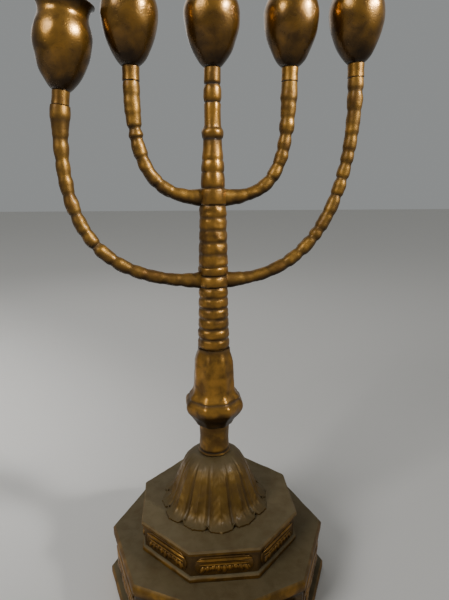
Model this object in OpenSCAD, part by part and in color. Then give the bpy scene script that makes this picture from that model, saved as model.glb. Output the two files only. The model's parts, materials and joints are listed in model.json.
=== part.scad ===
// Five-light table menorah in cast brass: a hollow two-tier octagonal base, a leafed dome, a turned
// column stacked on one tie rod, two pairs of curved branches and five egg-shaped candle cups.
// Millimetres. The origin is on the column's axis at table level, +Z is up and -Y is the front.
// The branches lie in the XZ plane.

/* [Column heights] */
// Height of the lower plinth
lower_plinth_h = 44.5; // [40:0.5:50]
// Height of the upper plinth
upper_plinth_h = 24.5; // [22:0.5:28]
// Height of the leafed dome
dome_h = 42; // [38:0.5:46]
// Height of the plain neck above the dome
neck_h = 24; // [20:0.5:34]
// Height of the faceted bell knop
knop_h = 58.5; // [54:0.5:62]
// Height of the ribbed column under the outer branches
lower_column_h = 44.8; // [40:0.2:50]
// Height of the hub that holds the outer branches
outer_hub_h = 14.7; // [14:0.1:17]
// Height of the ribbed column between the two hubs
middle_column_h = 41; // [36:0.2:48]
// Height of the hub that holds the inner branches
inner_hub_h = 11.3; // [11:0.1:14]
// Height of the tapered column above the hubs
upper_column_h = 53.1; // [50:0.1:60]

/* [Base] */
// Width of the lower plinth across its flats, at its foot
lower_plinth_w = 160; // [152:1:168]
// Turn of the lower plinth on the tie rod, in degrees
lower_plinth_turn = 17; // [0:0.5:45]
// Width of the upper plinth across its flats
upper_plinth_w = 115.5; // [110:0.5:122]
// Turn of the upper plinth on the tie rod, in degrees
upper_plinth_turn = -2; // [-22.5:0.5:22.5]
// How far both plinths sit to the right of the column's axis
plinth_shift = 2.5; // [0:0.5:3]
// Wall thickness of both plinths
plinth_wall = 3; // [2:0.25:4]
// Diameter of the dome at its rim, over the leaves
dome_d = 82; // [76:1:88]
// Number of leaves around the dome
leaf_count = 12; // [8:1:16]
// How far the middle of each leaf stands above the valleys beside it
leaf_rise = 2.6; // [1:0.2:3]
// Turn of the dome, which sets where its leaves stand, in degrees
leaf_turn = 1; // [0:0.5:30]

/* [Column widths] */
// Diameter of the neck
neck_d = 22.6; // [20:0.2:24]
// Width of the bell knop across its flats
knop_w = 41.6; // [38:0.2:46]
// Diameter of the ribbed column at its foot
column_foot_d = 22.8; // [21:0.2:24]
// Diameter of the ribbed column at the outer hub
column_mid_d = 20.4; // [19:0.2:21]
// Diameter of the ribbed column at the inner hub
column_top_d = 18.2; // [17:0.2:19]
// Depth of the grooves on the lower column
groove_depth = 0.7; // [0.4:0.1:1.4]
// Depth of the shallower grooves on the middle column
middle_groove_depth = 0.4; // [0.2:0.1:1.2]

/* [Branches] */
// Thickness of a branch between its knots
branch_d = 8.4; // [7:0.1:9.5]
// Thickness of a branch where it meets a cup ferrule
branch_tip_d = 10.2; // [9:0.1:10.8]
// Height of a knot above the waist beside it
knot_rise = 0.8; // [0:0.1:1.2]
// Distance from one knot to the next
knot_pitch = 11; // [9:0.5:15]
// Distance from the column to the outer left cup
outer_left_reach = 94.5; // [90:0.1:98]
// Height of the outer left branch's tip
outer_left_tip_z = 354.7; // [350:0.1:360]
// Inward lean of the outer left cup, in degrees
outer_left_lean = 6.5; // [0:0.5:10]
// Distance from the column to the outer right cup
outer_right_reach = 95; // [90:0.1:100]
// Height of the outer right branch's tip
outer_right_tip_z = 375.6; // [370:0.1:380]
// Inward lean of the outer right cup, in degrees
outer_right_lean = 3; // [0:0.5:10]
// Distance from the column to the inner left cup
inner_left_reach = 50.8; // [48:0.1:54]
// Height of the inner left branch's tip
inner_left_tip_z = 369.6; // [365:0.1:375]
// Inward lean of the inner left cup, in degrees
inner_left_lean = 1; // [0:0.5:8]
// Distance from the column to the inner right cup
inner_right_reach = 50.4; // [48:0.1:54]
// Height of the inner right branch's tip
inner_right_tip_z = 372; // [367:0.1:377]
// Inward lean of the inner right cup, in degrees
inner_right_lean = 0; // [0:0.5:8]

/* [Candle cups] */
// Height of a cup from its foot to its lip
cup_h = 49; // [47:0.5:52]
// Diameter of a cup at its belly
cup_belly_d = 34.8; // [33.6:0.2:37]
// Diameter of a cup at its neck
cup_neck_d = 29; // [28.4:0.2:31]
// Diameter of a cup at its flared lip
cup_lip_d = 36; // [34:0.2:39]
// Diameter of the socket that takes the candle
socket_d = 23.5; // [20:0.1:24.5]
// Height of the ferrule under each branch cup
ferrule_h = 9; // [8:0.5:11]
// Diameter of each ferrule
ferrule_d = 10.8; // [10.4:0.1:12]

/* [Hidden] */
$fn = 48;

// Heights of the joints between the stacked pieces
upper_plinth_z = lower_plinth_h;
dome_z = upper_plinth_z + upper_plinth_h;
neck_z = dome_z + dome_h;
knop_z = neck_z + neck_h;
lower_column_z = knop_z + knop_h;
outer_hub_z = lower_column_z + lower_column_h;
middle_column_z = outer_hub_z + outer_hub_h;
inner_hub_z = middle_column_z + middle_column_h;
upper_column_z = inner_hub_z + inner_hub_h;
centre_ferrule_z = upper_column_z + upper_column_h;
centre_ferrule_h = 21;
centre_cup_z = centre_ferrule_z + centre_ferrule_h;

// Tie rod and its fastenings, all M6
rod_d = 6;
rod_hole_d = 6.4;
rod_top_z = centre_ferrule_z - 8;
clamp_plate_d = 60;
clamp_plate_t = 2.5;
washer_d = 18;
washer_t = 1.6;
nut_across_flats = 10;
nut_h = 5;
clamp_plate_z = lower_plinth_h - plinth_wall - clamp_plate_t;
washer_z = clamp_plate_z - washer_t;
nut_z = washer_z - nut_h;
rod_foot_z = nut_z - 2;

// Hole in each plinth's top, wide enough for the plinth to sit off the axis
plinth_hole_d = 14;

// Octagons: across flats to the corner radius
side_count = 8;
side_step = 360 / side_count;
corner = 1 / cos(side_step / 2);

// Mouldings of the plinths
lower_foot_h = 7;
slab_h = 10;
slab_recess = 3;
lower_wall_recess = 5;
upper_foot_h = 4;
cornice_h = 4;
upper_wall_recess = 2;
edge_step = 0.8;
panel_t = 1.2;
panel_rim = 1.8;
panel_rim_rise = 0.8;
panel_gap = 1;

// Dome
dome_top_r = 12;
dome_rim_h = 1.2;
dome_wall = 4;
dome_rows = 9;
dome_columns_per_leaf = 6;

// Hubs and the tenons of the branches
outer_hub_d = 20.8;
inner_hub_d = 18.4;
outer_axis_z = outer_hub_z + 4.5;
inner_axis_z = inner_hub_z + 5.2;
tenon_d = 6.4;
tenon_end_x = 4.4;
hub_end_bevel = 0.8;
hub_groove_z = 8.1;
hub_groove_depth = 1;

// Branch sweep
sweep_pitch = 2.6;
sweep_sides = 10;
branch_root_d = 9.6;
tip_tenon_d = 7;
tip_tenon_h = 6;

// Cup inside and its screw
lip_t = 1;
socket_bottom = cup_h - 12;
socket_top = cup_h - 3;
belly_z = 28.6;
neck_above_foot = 41.8;
cup_wall = 2.2;
cup_floor_z = 5;
cup_floor_r = 4;
screw_d = 3;
screw_hole_d = 3.4;
screw_head_d = 6;
screw_head_h = 1.8;
screw_reach = 8;

// ---- Curves -------------------------------------------------------------------------------

// Point at t on the cubic curve with end points a and d and handle points b and c
function cubic(a, b, c, d, t) =
    pow(1 - t, 3) * a + 3 * pow(1 - t, 2) * t * b + 3 * (1 - t) * t * t * c + pow(t, 3) * d;

// The same curve as count points, leaving out its first one
function cubic_points(a, b, c, d, count) = [for (i = [1:count]) cubic(a, b, c, d, i / count)];

// Running length along a list of points
function running_length(points) =
    [for (i = 0, s = 0; i < len(points);
        s = s + (i + 1 < len(points) ? norm(points[i + 1] - points[i]) : 0), i = i + 1) s];

// ---- Shared shapes ------------------------------------------------------------------------

module octagon_prism(flats, height, z = 0) {
    translate([0, 0, z]) rotate([0, 0, side_step / 2])
        cylinder(h = height, d = flats * corner, $fn = side_count);
}

// Barrel-shaped ribs between grooves, as one turned solid with the tie rod's hole through it
module ribbed_barrel(z, height, foot_d, top_d, ribs, depth) {
    steps = 6;
    function rib_r(u) = (foot_d + (top_d - foot_d) * u) / 2
        - depth * pow(abs(cos(180 * u * ribs)), 3);
    translate([0, 0, z]) difference() {
        rotate_extrude() polygon([
            [0, 0],
            for (i = [0:ribs * steps]) [rib_r(i / (ribs * steps)), height * i / (ribs * steps)],
            [0, height]
        ]);
        rod_hole(height);
    }
}

module rod_hole(height) {
    translate([0, 0, -1]) cylinder(h = height + 2, d = rod_hole_d);
}

// ---- Base ---------------------------------------------------------------------------------

// What both plinths share: a hollow octagonal box, open underneath, with a wide hole in its top
module hollow_plinth(inner_w, height) {
    difference() {
        children();
        octagon_prism(inner_w, height - plinth_wall + 1, -1);
        cylinder(h = height + 1, d = plinth_hole_d);
    }
}

// Plate with half-round ends
module capsule(width, height, thickness) {
    linear_extrude(thickness) {
        square([width - height, height], center = true);
        for (side = [-1, 1]) translate([side * (width - height) / 2, 0]) circle(d = height);
    }
}

// One relief panel, lying flat: a plate, a raised rim, a round boss and two pairs of leaf swells
module relief_panel(width, height) {
    boss_d = height * 0.42;
    swell_d = height * 0.3;
    capsule(width, height, panel_t);
    difference() {
        capsule(width, height, panel_t + panel_rim_rise);
        translate([0, 0, panel_t])
            capsule(width - 2 * panel_rim, height - 2 * panel_rim, panel_rim_rise + 1);
    }
    cylinder(h = panel_t + panel_rim_rise, d = boss_d);
    for (side = [-1, 1], step = [1, 2])
        translate([side * step * width * 0.15, 0, 0])
            cylinder(h = panel_t + panel_rim_rise * 0.7, d = swell_d);
}

// A relief panel on each of eight walls: wall_w is the walls' width across the octagon's flats,
// and the panels fill the height from low_z to high_z
module relief_panels(wall_w, low_z, high_z) {
    panel_w = wall_w * tan(side_step / 2) - 6;
    panel_h = high_z - low_z - 2 * panel_gap;
    for (i = [0:side_count - 1]) rotate([0, 0, i * side_step])
        translate([0, -wall_w / 2, (low_z + high_z) / 2]) rotate([90, 0, 0])
            relief_panel(panel_w, panel_h);
}

module at_lower_plinth() {
    translate([plinth_shift, 0, 0]) rotate([0, 0, lower_plinth_turn]) children();
}

module at_upper_plinth() {
    translate([plinth_shift, 0, upper_plinth_z]) rotate([0, 0, upper_plinth_turn]) children();
}

// Wide foot band, recessed panelled wall and a thick slab on top
module lower_plinth() {
    wall_w = lower_plinth_w - 2 * lower_wall_recess;
    slab_w = lower_plinth_w - 2 * slab_recess;
    color("tan") at_lower_plinth()
        hollow_plinth(wall_w - 2 * plinth_wall, lower_plinth_h) {
            octagon_prism(lower_plinth_w, lower_foot_h);
            octagon_prism(wall_w, lower_plinth_h - 1);
            octagon_prism(slab_w, slab_h - edge_step, lower_plinth_h - slab_h);
            octagon_prism(slab_w - 2 * edge_step, edge_step, lower_plinth_h - edge_step);
        }
}

// Foot band, panelled wall and a thin cornice
module upper_plinth() {
    wall_w = upper_plinth_w - 2 * upper_wall_recess;
    color("burlywood") at_upper_plinth()
        hollow_plinth(wall_w - 2 * plinth_wall, upper_plinth_h) {
            octagon_prism(upper_plinth_w, upper_foot_h);
            octagon_prism(wall_w, upper_plinth_h - 1);
            octagon_prism(upper_plinth_w, cornice_h - edge_step, upper_plinth_h - cornice_h);
            octagon_prism(upper_plinth_w - 2 * edge_step, edge_step, upper_plinth_h - edge_step);
        }
}

module lower_relief_panels() {
    color("darkgoldenrod") at_lower_plinth()
        relief_panels(lower_plinth_w - 2 * lower_wall_recess, lower_foot_h,
                      lower_plinth_h - slab_h);
}

module upper_relief_panels() {
    color("goldenrod") at_upper_plinth()
        relief_panels(upper_plinth_w - 2 * upper_wall_recess, upper_foot_h,
                      upper_plinth_h - cornice_h);
}

// Points down the dome's meridian, from its flared rim up to the neck, as [radius, height]:
// a full shoulder and a skirt. inset draws it in all round.
function dome_meridian(inset, count) =
    let (rim = [dome_d / 2 - leaf_rise - inset, dome_rim_h], top = [dome_top_r, dome_h - inset])
    [for (i = [0:count])
        cubic(rim, [25 - inset, 8], [30 - inset, dome_h - 5 - inset], top, i / count)];

// Outer skin of the dome: its meridian turned about the axis and swollen by the leaves.
// The swelling is full at the rim and dies away towards the neck.
module dome_skin() {
    columns = leaf_count * dome_columns_per_leaf;
    meridian = dome_meridian(0, dome_rows - 1);
    rows = concat([[meridian[0][0], 0]], meridian);
    function dome_point(row, column) =
        let (around = 360 * column / columns,
             leaf = pow(abs(cos(around * leaf_count / 2)), 0.6),
             r = rows[row][0] + leaf_rise * (1 - rows[row][1] / dome_h) * leaf)
        [r * cos(around), r * sin(around), rows[row][1]];
    points = [for (row = [0:dome_rows], column = [0:columns - 1]) dome_point(row, column)];
    faces = [
        [for (column = [0:columns - 1]) column],
        for (row = [0:dome_rows - 1], column = [0:columns - 1])
            let (next = (column + 1) % columns, below = row * columns, above = below + columns)
            each [[below + column, above + column, above + next],
                  [below + column, above + next, below + next]],
        [for (column = [columns - 1:-1:0]) dome_rows * columns + column]
    ];
    polyhedron(points, faces, convexity = 4);
}

// Hollow dome of leaves, open underneath, with the tie rod's hole in its top
module leaf_dome() {
    color("darkkhaki") translate([0, 0, dome_z]) difference() {
        rotate([0, 0, leaf_turn]) dome_skin();
        rotate_extrude() polygon([
            [0, -1], [dome_d / 2 - leaf_rise - dome_wall, -1],
            each dome_meridian(dome_wall, 8), [0, dome_h - dome_wall]
        ]);
        rod_hole(dome_h);
    }
}

// ---- Column -------------------------------------------------------------------------------

// Plain waisted sleeve with a ring at its foot
module neck_sleeve() {
    ring_h = 2.5;
    color("darkorange") translate([0, 0, neck_z]) difference() {
        rotate_extrude() polygon([
            [0, 0], [neck_d / 2 + 0.8, 0], [neck_d / 2 + 0.8, ring_h * 0.7], [neck_d / 2, ring_h],
            [neck_d / 2 - 0.4, neck_h / 2], [neck_d / 2, neck_h], [0, neck_h]
        ]);
        rod_hole(neck_h);
    }
}

// Eight-sided bell that flares to a groove, with a wide rolled band under it
module bell_knop() {
    band_r = knop_w / 2 * corner;
    color("goldenrod") translate([0, 0, knop_z]) difference() {
        rotate([0, 0, side_step / 2]) rotate_extrude($fn = side_count) polygon([
            [0, 0], [0.63 * band_r, 0], [0.69 * band_r, 2.6], [0.79 * band_r, 5.8],
            [0.9 * band_r, 8.9], [0.97 * band_r, 12], [band_r, 14.4], [0.97 * band_r, 17.8],
            [0.92 * band_r, 19.3], [0.86 * band_r, 20.7], [0.86 * band_r, 21.4],
            [0.77 * band_r, 24], [0.71 * band_r, 27.4], [0.69 * band_r, 33], [0.67 * band_r, 41],
            [0.65 * band_r, knop_h - 10], [0.59 * band_r, knop_h - 5], [0.55 * band_r, knop_h],
            [0, knop_h]
        ]);
        rod_hole(knop_h);
    }
}

module lower_column() {
    color("peru") ribbed_barrel(
        lower_column_z, lower_column_h, column_foot_d, column_mid_d, 6, groove_depth);
}

module middle_column() {
    color("peru") ribbed_barrel(
        middle_column_z, middle_column_h, column_mid_d, column_top_d, 5, middle_groove_depth);
}

// Drum with bevelled ends and a socket on each side for a branch's tenon
module branch_hub(z, height, width, axis_z) {
    difference() {
        translate([0, 0, z]) rotate_extrude() polygon([
            [0, 0], [width / 2 - hub_end_bevel, 0], [width / 2, hub_end_bevel],
            [width / 2, height - hub_end_bevel], [width / 2 - hub_end_bevel, height], [0, height]
        ]);
        translate([0, 0, z]) rod_hole(height);
        for (side = [-1, 1]) translate([side * tenon_end_x, 0, axis_z]) rotate([0, side * 90, 0])
            cylinder(h = width, d = tenon_d);
    }
}

// The outer hub has a groove above its sockets, so that it reads as two ribs
module outer_branch_hub() {
    groove = [outer_hub_d / 2 - hub_groove_depth, outer_hub_z + hub_groove_z];
    color("sienna") difference() {
        branch_hub(outer_hub_z, outer_hub_h, outer_hub_d, outer_axis_z);
        rotate_extrude() polygon([groove, groove + [2, 1.4], groove + [2, -1.4]]);
    }
}

module inner_branch_hub() {
    color("sienna") branch_hub(inner_hub_z, inner_hub_h, inner_hub_d, inner_axis_z);
}

// Three swelling joints, a collar and a slender waisted top, all in one turning
module upper_column() {
    collar_z = 31.7;
    color("peru") translate([0, 0, upper_column_z]) difference() {
        rotate_extrude() polygon([
            [0, 0], [7.9, 0], [8.2, 2], [8, 6], [7.5, 9.3], [7.2, 10.1], [7.6, 11.6], [7.6, 15],
            [7.2, 17.2], [6.8, 17.8], [7, 19.6], [6.4, 25], [6.1, collar_z - 0.6],
            [6.7, collar_z], [7.1, collar_z + 1.5], [7.1, collar_z + 4], [6.4, collar_z + 5],
            [5.6, collar_z + 5.7], [5.4, (collar_z + upper_column_h) / 2 + 3],
            [5.6, upper_column_h - 1], [5.2, upper_column_h], [0, upper_column_h]
        ]);
        rod_hole(upper_column_h);
    }
}

// ---- Ferrules -----------------------------------------------------------------------------

// Sleeve on a branch's tip, open below for the tenon and pierced above for the screw
module branch_ferrule() {
    difference() {
        cylinder(h = ferrule_h, d = ferrule_d);
        translate([0, 0, -1]) cylinder(h = tip_tenon_h + 1, d = tip_tenon_d);
        cylinder(h = ferrule_h + 1, d = screw_d);
    }
}

// Bead and plain sleeve on top of the column, with a spigot that enters the rod hole
module centre_ferrule() {
    bead_h = 11;
    spigot_h = 6;
    color("gold") translate([0, 0, centre_ferrule_z]) difference() {
        union() {
            rotate_extrude() polygon([
                [0, 0], [4.9, 0], [5.5, 1.2], [5.8, 3.5], [5.8, 7.5], [5.4, bead_h - 1.2],
                [4.9, bead_h], [ferrule_d / 2, bead_h + 1],
                [ferrule_d / 2, centre_ferrule_h], [0, centre_ferrule_h]
            ]);
            translate([0, 0, -spigot_h]) cylinder(h = spigot_h + 1, d = rod_hole_d);
        }
        translate([0, 0, centre_ferrule_h - screw_reach]) cylinder(h = screw_reach + 1, d = screw_d);
    }
}

// ---- Branches -----------------------------------------------------------------------------

// A branch's side, reach, tip height and lean, its hub's axis height and width, and the lengths
// of the curve's handles at the hub and at the tip, as fractions of its reach and its rise
outer_left = [-1, outer_left_reach, outer_left_tip_z, outer_left_lean,
              outer_axis_z, outer_hub_d, 0.59, 0.8];
outer_right = [1, outer_right_reach, outer_right_tip_z, outer_right_lean,
               outer_axis_z, outer_hub_d, 0.77, 0.45];
inner_left = [-1, inner_left_reach, inner_left_tip_z, inner_left_lean,
              inner_axis_z, inner_hub_d, 0.69, 0.67];
inner_right = [1, inner_right_reach, inner_right_tip_z, inner_right_lean,
               inner_axis_z, inner_hub_d, 0.74, 0.69];

// Places its children on a branch's tip, leaning with the branch
module at_tip(branch) {
    translate([branch[0] * branch[1], 0, branch[2]]) rotate([0, -branch[0] * branch[3], 0])
        children();
}

// Centre line of a branch on the +X side, starting just inside the hub's face
function branch_path(branch, count) =
    let (reach = branch[1], tip_z = branch[2], lean = branch[3], axis_z = branch[4],
         root_x = branch[5] / 2 - 2, tip_pull = branch[7] * (tip_z - axis_z),
         root = [root_x, axis_z], tip = [reach, tip_z],
         root_handle = root + [branch[6] * reach, 0],
         tip_handle = tip - tip_pull * [-sin(lean), cos(lean)])
    [for (i = [0:count]) cubic(root, root_handle, tip_handle, tip, i / count)];

// Radius of a branch at distance s along it, out of length whole: thick at both ends, with knots
function branch_r(s, whole) =
    let (from_root = max(0, 1 - s / 14), from_tip = max(0, 1 - (whole - s) / 30),
         plain = branch_d / 2 + (branch_root_d - branch_d) / 2 * from_root
             + (branch_tip_d - branch_d) / 2 * from_tip,
         knotty = min(1, s / 18) * min(1, (whole - s) / 5))
    plain + knot_rise * knotty * (pow(abs(sin(180 * s / knot_pitch)), 2) - 0.35);

// Solid swept along a branch's centre line with a round section that follows branch_r
module branch_sweep(branch) {
    rough = branch_path(branch, 40);
    rings = ceil(running_length(rough)[40] / sweep_pitch);
    path = branch_path(branch, rings);
    along = running_length(path);
    function heading(i) = let (d = path[min(i + 1, rings)] - path[max(i - 1, 0)]) d / norm(d);
    tip_heading = [-sin(branch[3]), cos(branch[3])];
    function ring(i) =
        let (d = i == 0 ? [1, 0] : i == rings ? tip_heading : heading(i),
             r = branch_r(along[i], along[rings]))
        [for (k = [0:sweep_sides - 1])
            let (a = 360 * k / sweep_sides)
            [path[i][0] - d[1] * r * cos(a), r * sin(a), path[i][1] + d[0] * r * cos(a)]];
    points = [for (i = [0:rings]) each ring(i)];
    faces = [
        [for (k = [sweep_sides - 1:-1:0]) k],
        for (i = [0:rings - 1], k = [0:sweep_sides - 1])
            let (next = (k + 1) % sweep_sides, here = i * sweep_sides, there = here + sweep_sides)
            each [[here + k, here + next, there + next], [here + k, there + next, there + k]],
        [for (k = [0:sweep_sides - 1]) rings * sweep_sides + k]
    ];
    polyhedron(points, faces, convexity = 6);
}

// A branch with its root coped to the hub, a tenon for the hub and one for its ferrule
module branch_arm(branch) {
    hub_r = branch[5] / 2;
    axis_z = branch[4];
    color("darkgoldenrod") difference() {
        union() {
            difference() {
                if (branch[0] > 0) branch_sweep(branch);
                else mirror([1, 0, 0]) branch_sweep(branch);
                translate([0, 0, axis_z - branch_root_d]) cylinder(h = 2 * branch_root_d, r = hub_r);
            }
            translate([branch[0] * tenon_end_x, 0, axis_z]) rotate([0, branch[0] * 90, 0])
                cylinder(h = hub_r - tenon_end_x + 2, d = tenon_d);
            at_tip(branch) translate([0, 0, -2]) cylinder(h = tip_tenon_h + 2, d = tip_tenon_d);
        }
        at_tip(branch) translate([0, 0, ferrule_h - screw_reach])
            cylinder(h = screw_reach, d = screw_d);
    }
}

module outer_left_branch() { branch_arm(outer_left); }
module inner_left_branch() { branch_arm(inner_left); }
module inner_right_branch() { branch_arm(inner_right); }
module outer_right_branch() { branch_arm(outer_right); }

module outer_left_ferrule() { color("gold") at_tip(outer_left) branch_ferrule(); }
module inner_left_ferrule() { color("gold") at_tip(inner_left) branch_ferrule(); }
module inner_right_ferrule() { color("gold") at_tip(inner_right) branch_ferrule(); }
module outer_right_ferrule() { color("gold") at_tip(outer_right) branch_ferrule(); }

// ---- Candle cups --------------------------------------------------------------------------

// Egg-shaped cup with a narrow neck, a flared lip, a straight candle socket in the neck and a
// hollow belly under it
module candle_cup() {
    foot = [ferrule_d / 2, 0];
    belly = [cup_belly_d / 2, belly_z];
    neck = [cup_neck_d / 2, neck_above_foot];
    lip = [cup_lip_d / 2, cup_h];
    inner_belly = [cup_belly_d / 2 - cup_wall, belly_z];
    inner_floor = [cup_floor_r, cup_floor_z];
    socket_r = socket_d / 2;
    difference() {
        rotate_extrude() polygon([
            [0, 0], foot,
            each cubic_points(foot, foot + [5, 3.5], belly - [0, 12], belly, 8),
            each cubic_points(belly, belly + [0, 7], neck - [0, 3.5], neck, 5),
            each cubic_points(neck, neck + [0, 3], lip - [1.6, 1.6], lip, 4),
            [0, cup_h]
        ]);
        rotate_extrude() polygon([
            [0, cup_floor_z], inner_floor,
            each cubic_points(inner_floor, inner_floor + [4, 3], inner_belly - [0, 11], inner_belly, 7),
            each cubic_points(inner_belly, inner_belly + [0, 6], [socket_r + 1.5, socket_bottom],
                              [socket_r, socket_bottom], 5),
            [0, socket_bottom]
        ]);
        translate([0, 0, socket_bottom - 1]) cylinder(h = cup_h - socket_bottom, d = socket_d);
        rotate_extrude() polygon([
            [0, socket_top], [socket_r, socket_top],
            [cup_lip_d / 2 - lip_t, cup_h], [cup_lip_d / 2 - lip_t, cup_h + 1], [0, cup_h + 1]
        ]);
        translate([0, 0, -1]) cylinder(h = cup_floor_z + 2, d = screw_hole_d);
    }
}

module at_cup(branch) {
    at_tip(branch) translate([0, 0, ferrule_h]) children();
}

module outer_left_cup() { color("darkgoldenrod") at_cup(outer_left) candle_cup(); }
module inner_left_cup() { color("darkgoldenrod") at_cup(inner_left) candle_cup(); }
module inner_right_cup() { color("darkgoldenrod") at_cup(inner_right) candle_cup(); }
module outer_right_cup() { color("darkgoldenrod") at_cup(outer_right) candle_cup(); }
module centre_cup() { color("darkgoldenrod") translate([0, 0, centre_cup_z]) candle_cup(); }

// Pan-headed screw from a cup's floor into the ferrule and the tenon below
module cup_screw() {
    translate([0, 0, cup_floor_z]) cylinder(h = screw_head_h, d = screw_head_d);
    translate([0, 0, 1 - screw_reach]) cylinder(h = screw_reach + cup_floor_z, d = screw_d);
}

module cup_screws() {
    color("dimgray") {
        for (branch = [outer_left, inner_left, inner_right, outer_right]) at_cup(branch) cup_screw();
        translate([0, 0, centre_cup_z]) cup_screw();
    }
}

// ---- Tie rod and its fastenings -----------------------------------------------------------

module tie_rod() {
    color("slategray") translate([0, 0, rod_foot_z])
        cylinder(h = rod_top_z - rod_foot_z, d = rod_d);
}

module clamp_plate() {
    color("gray") translate([0, 0, clamp_plate_z]) difference() {
        cylinder(h = clamp_plate_t, d = clamp_plate_d);
        rod_hole(clamp_plate_t);
    }
}

module tie_rod_washer() {
    color("silver") translate([0, 0, washer_z]) difference() {
        cylinder(h = washer_t, d = washer_d);
        rod_hole(washer_t);
    }
}

module tie_rod_nut() {
    color("darkgray") translate([0, 0, nut_z]) difference() {
        cylinder(h = nut_h, d = nut_across_flats / cos(30), $fn = 6);
        translate([0, 0, -1]) cylinder(h = nut_h + 2, d = rod_d);
    }
}

lower_plinth();
upper_plinth();
lower_relief_panels();
upper_relief_panels();
leaf_dome();
neck_sleeve();
bell_knop();
lower_column();
outer_branch_hub();
middle_column();
inner_branch_hub();
upper_column();
centre_ferrule();
outer_left_branch();
inner_left_branch();
inner_right_branch();
outer_right_branch();
outer_left_ferrule();
inner_left_ferrule();
inner_right_ferrule();
outer_right_ferrule();
outer_left_cup();
inner_left_cup();
centre_cup();
inner_right_cup();
outer_right_cup();
cup_screws();
tie_rod();
clamp_plate();
tie_rod_washer();
tie_rod_nut();
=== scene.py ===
"""Looks of a cast brass table menorah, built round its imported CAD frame. Metres, +Z up, -Y front."""
import json
import math

import bmesh
import bpy
from bpy.props import FloatProperty, FloatVectorProperty, IntProperty, PointerProperty
from mathutils import Matrix, Vector, noise


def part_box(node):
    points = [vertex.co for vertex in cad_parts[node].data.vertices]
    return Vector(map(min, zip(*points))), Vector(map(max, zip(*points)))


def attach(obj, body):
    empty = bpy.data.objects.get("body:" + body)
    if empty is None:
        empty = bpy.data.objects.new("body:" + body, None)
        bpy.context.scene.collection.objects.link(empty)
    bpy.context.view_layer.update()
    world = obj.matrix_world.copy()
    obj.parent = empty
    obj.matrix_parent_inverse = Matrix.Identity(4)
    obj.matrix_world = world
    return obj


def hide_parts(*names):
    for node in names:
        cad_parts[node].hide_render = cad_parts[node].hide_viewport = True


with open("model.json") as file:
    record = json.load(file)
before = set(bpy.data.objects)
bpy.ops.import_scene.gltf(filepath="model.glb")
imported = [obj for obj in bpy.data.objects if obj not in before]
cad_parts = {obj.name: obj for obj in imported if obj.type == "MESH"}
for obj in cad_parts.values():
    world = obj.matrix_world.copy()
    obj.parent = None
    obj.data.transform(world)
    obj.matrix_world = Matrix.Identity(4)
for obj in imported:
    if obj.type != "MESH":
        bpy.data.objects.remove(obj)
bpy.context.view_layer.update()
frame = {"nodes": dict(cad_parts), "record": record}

bl_info = {
    "name": "Menorah looks",
    "version": (1, 0, 0),
    "blender": (4, 5, 0),
    "location": "View3D > Sidebar > Menorah",
    "description": "Builds the detailed pieces and finishes of a cast brass menorah",
    "category": "Object",
}

MM = 0.001
BODY = "root"
MOUNTS = {m["name"]: m for m in frame["record"]["mounts"]}

SMOOTH_ANGLE = math.radians(38)
EIGHTH = math.pi / 4
FLAT_TO_CORNER = 1 / math.cos(EIGHTH / 2)
ROD_BORE_R = 3.2 * MM       # bore for the tie rod through every piece of the stem


# ---- Sizes and colours that a user may change ------------------------------------------------

def span(node):
    """Lowest and highest z of a CAD node."""
    low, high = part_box(node)
    return low[2], high[2]


def width(node):
    """Width of a CAD node along X."""
    low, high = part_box(node)
    return high[0] - low[0]


def length_prop(name, description, default):
    return FloatProperty(name=name, description=description, default=default, unit='LENGTH',
                         subtype='DISTANCE', precision=5)


def hex_to_linear(code):
    """Linear RGB of an sRGB hex colour such as '8A6A2C'."""
    def channel(pair):
        c = int(pair, 16) / 255
        return c / 12.92 if c <= 0.04045 else ((c + 0.055) / 1.055) ** 2.4
    return tuple(channel(code[i:i + 2]) for i in (0, 2, 4))


def colour_prop(name, description, code):
    return FloatVectorProperty(name=name, description=description, default=hex_to_linear(code),
                               subtype='COLOR', size=3, min=0.0, max=1.0)


class MenorahBase(bpy.types.PropertyGroup):
    """Sizes of the plinths and the dome"""
    plinth_shift: length_prop("Plinth shift", "How far both plinths sit to the right", 2.5 * MM)
    plinth_edge: length_prop("Edge softness", "Width of the plinths' worn edges", 0.7 * MM)
    lower_turn: FloatProperty(name="Lower turn", description="Turn of the lower plinth",
                              default=math.radians(17), unit='ROTATION', subtype='ANGLE')
    upper_turn: FloatProperty(name="Upper turn", description="Turn of the upper plinth",
                              default=math.radians(-2), unit='ROTATION', subtype='ANGLE')
    leaf_count: IntProperty(name="Leaves", description="Number of leaves round the dome",
                            default=12, min=6, max=20)
    leaf_depth: length_prop("Leaf depth", "Height of a leaf's crest over its valley", 2.6 * MM)
    leaf_turn: FloatProperty(name="Leaf turn", description="Turn of the dome's leaves",
                             default=math.radians(1), unit='ROTATION', subtype='ANGLE')


class MenorahColumn(bpy.types.PropertyGroup):
    """Sizes of the column"""
    groove_depth: length_prop("Groove depth", "Depth of the lower column's grooves", 0.7 * MM)
    middle_depth: length_prop("Middle depth", "Depth of the middle column's grooves", 0.4 * MM)
    lower_ribs: IntProperty(name="Lower ribs", description="Ribs under the outer branches",
                            default=6, min=3, max=12)
    middle_ribs: IntProperty(name="Middle ribs", description="Ribs between the two hubs",
                             default=5, min=3, max=12)


class MenorahBranches(bpy.types.PropertyGroup):
    """Sizes of the branches"""
    waist_d: length_prop("Waist", "Thickness of a branch between its knots", 8.4 * MM)
    tip_d: length_prop("Tip", "Thickness of a branch under its ferrule", 10.2 * MM)
    root_d: length_prop("Root", "Thickness of a branch at its hub", 9.6 * MM)
    knot_rise: length_prop("Knot rise", "Height of a knot above its waist", 0.88 * MM)
    knot_pitch: length_prop("Knot pitch", "Distance from one knot to the next", 11 * MM)


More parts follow.
